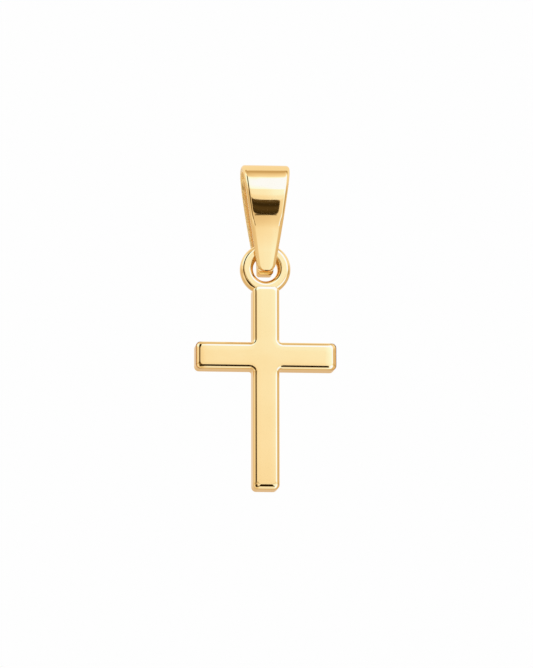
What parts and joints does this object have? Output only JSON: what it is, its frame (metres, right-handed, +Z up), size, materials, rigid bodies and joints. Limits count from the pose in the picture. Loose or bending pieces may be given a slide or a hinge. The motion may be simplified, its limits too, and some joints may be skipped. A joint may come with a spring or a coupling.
{
  "type": "cross pendant",
  "caption": "Plain gold Latin cross with soft edges and a cast eye, swinging in a tapered teardrop bail that a neck chain runs through.",
  "frame": {"origin": "top of the bail's opening, in the middle of the crown, where the chain bears", "axes": "+Z up, the pendant hangs along -Z; the front of the cross faces -Y; +X to the right seen from the front"},
  "size_m": [0.0088, 0.003, 0.0205],
  "materials": {
    "cross_gold": "high polish",
    "bail_gold": "high polish"
  },
  "bodies": {
    "bail": {"bail": "bail_gold"},
    "cross": {"cross": "cross_gold"}
  },
  "joints": [
    {"name": "cross_swing", "type": "hinge", "parent": "bail", "child": "cross", "pos_m": [0, 0, -0.00497], "axis": [1, 0, 0], "range_deg": [-30, 30]}
  ]
}
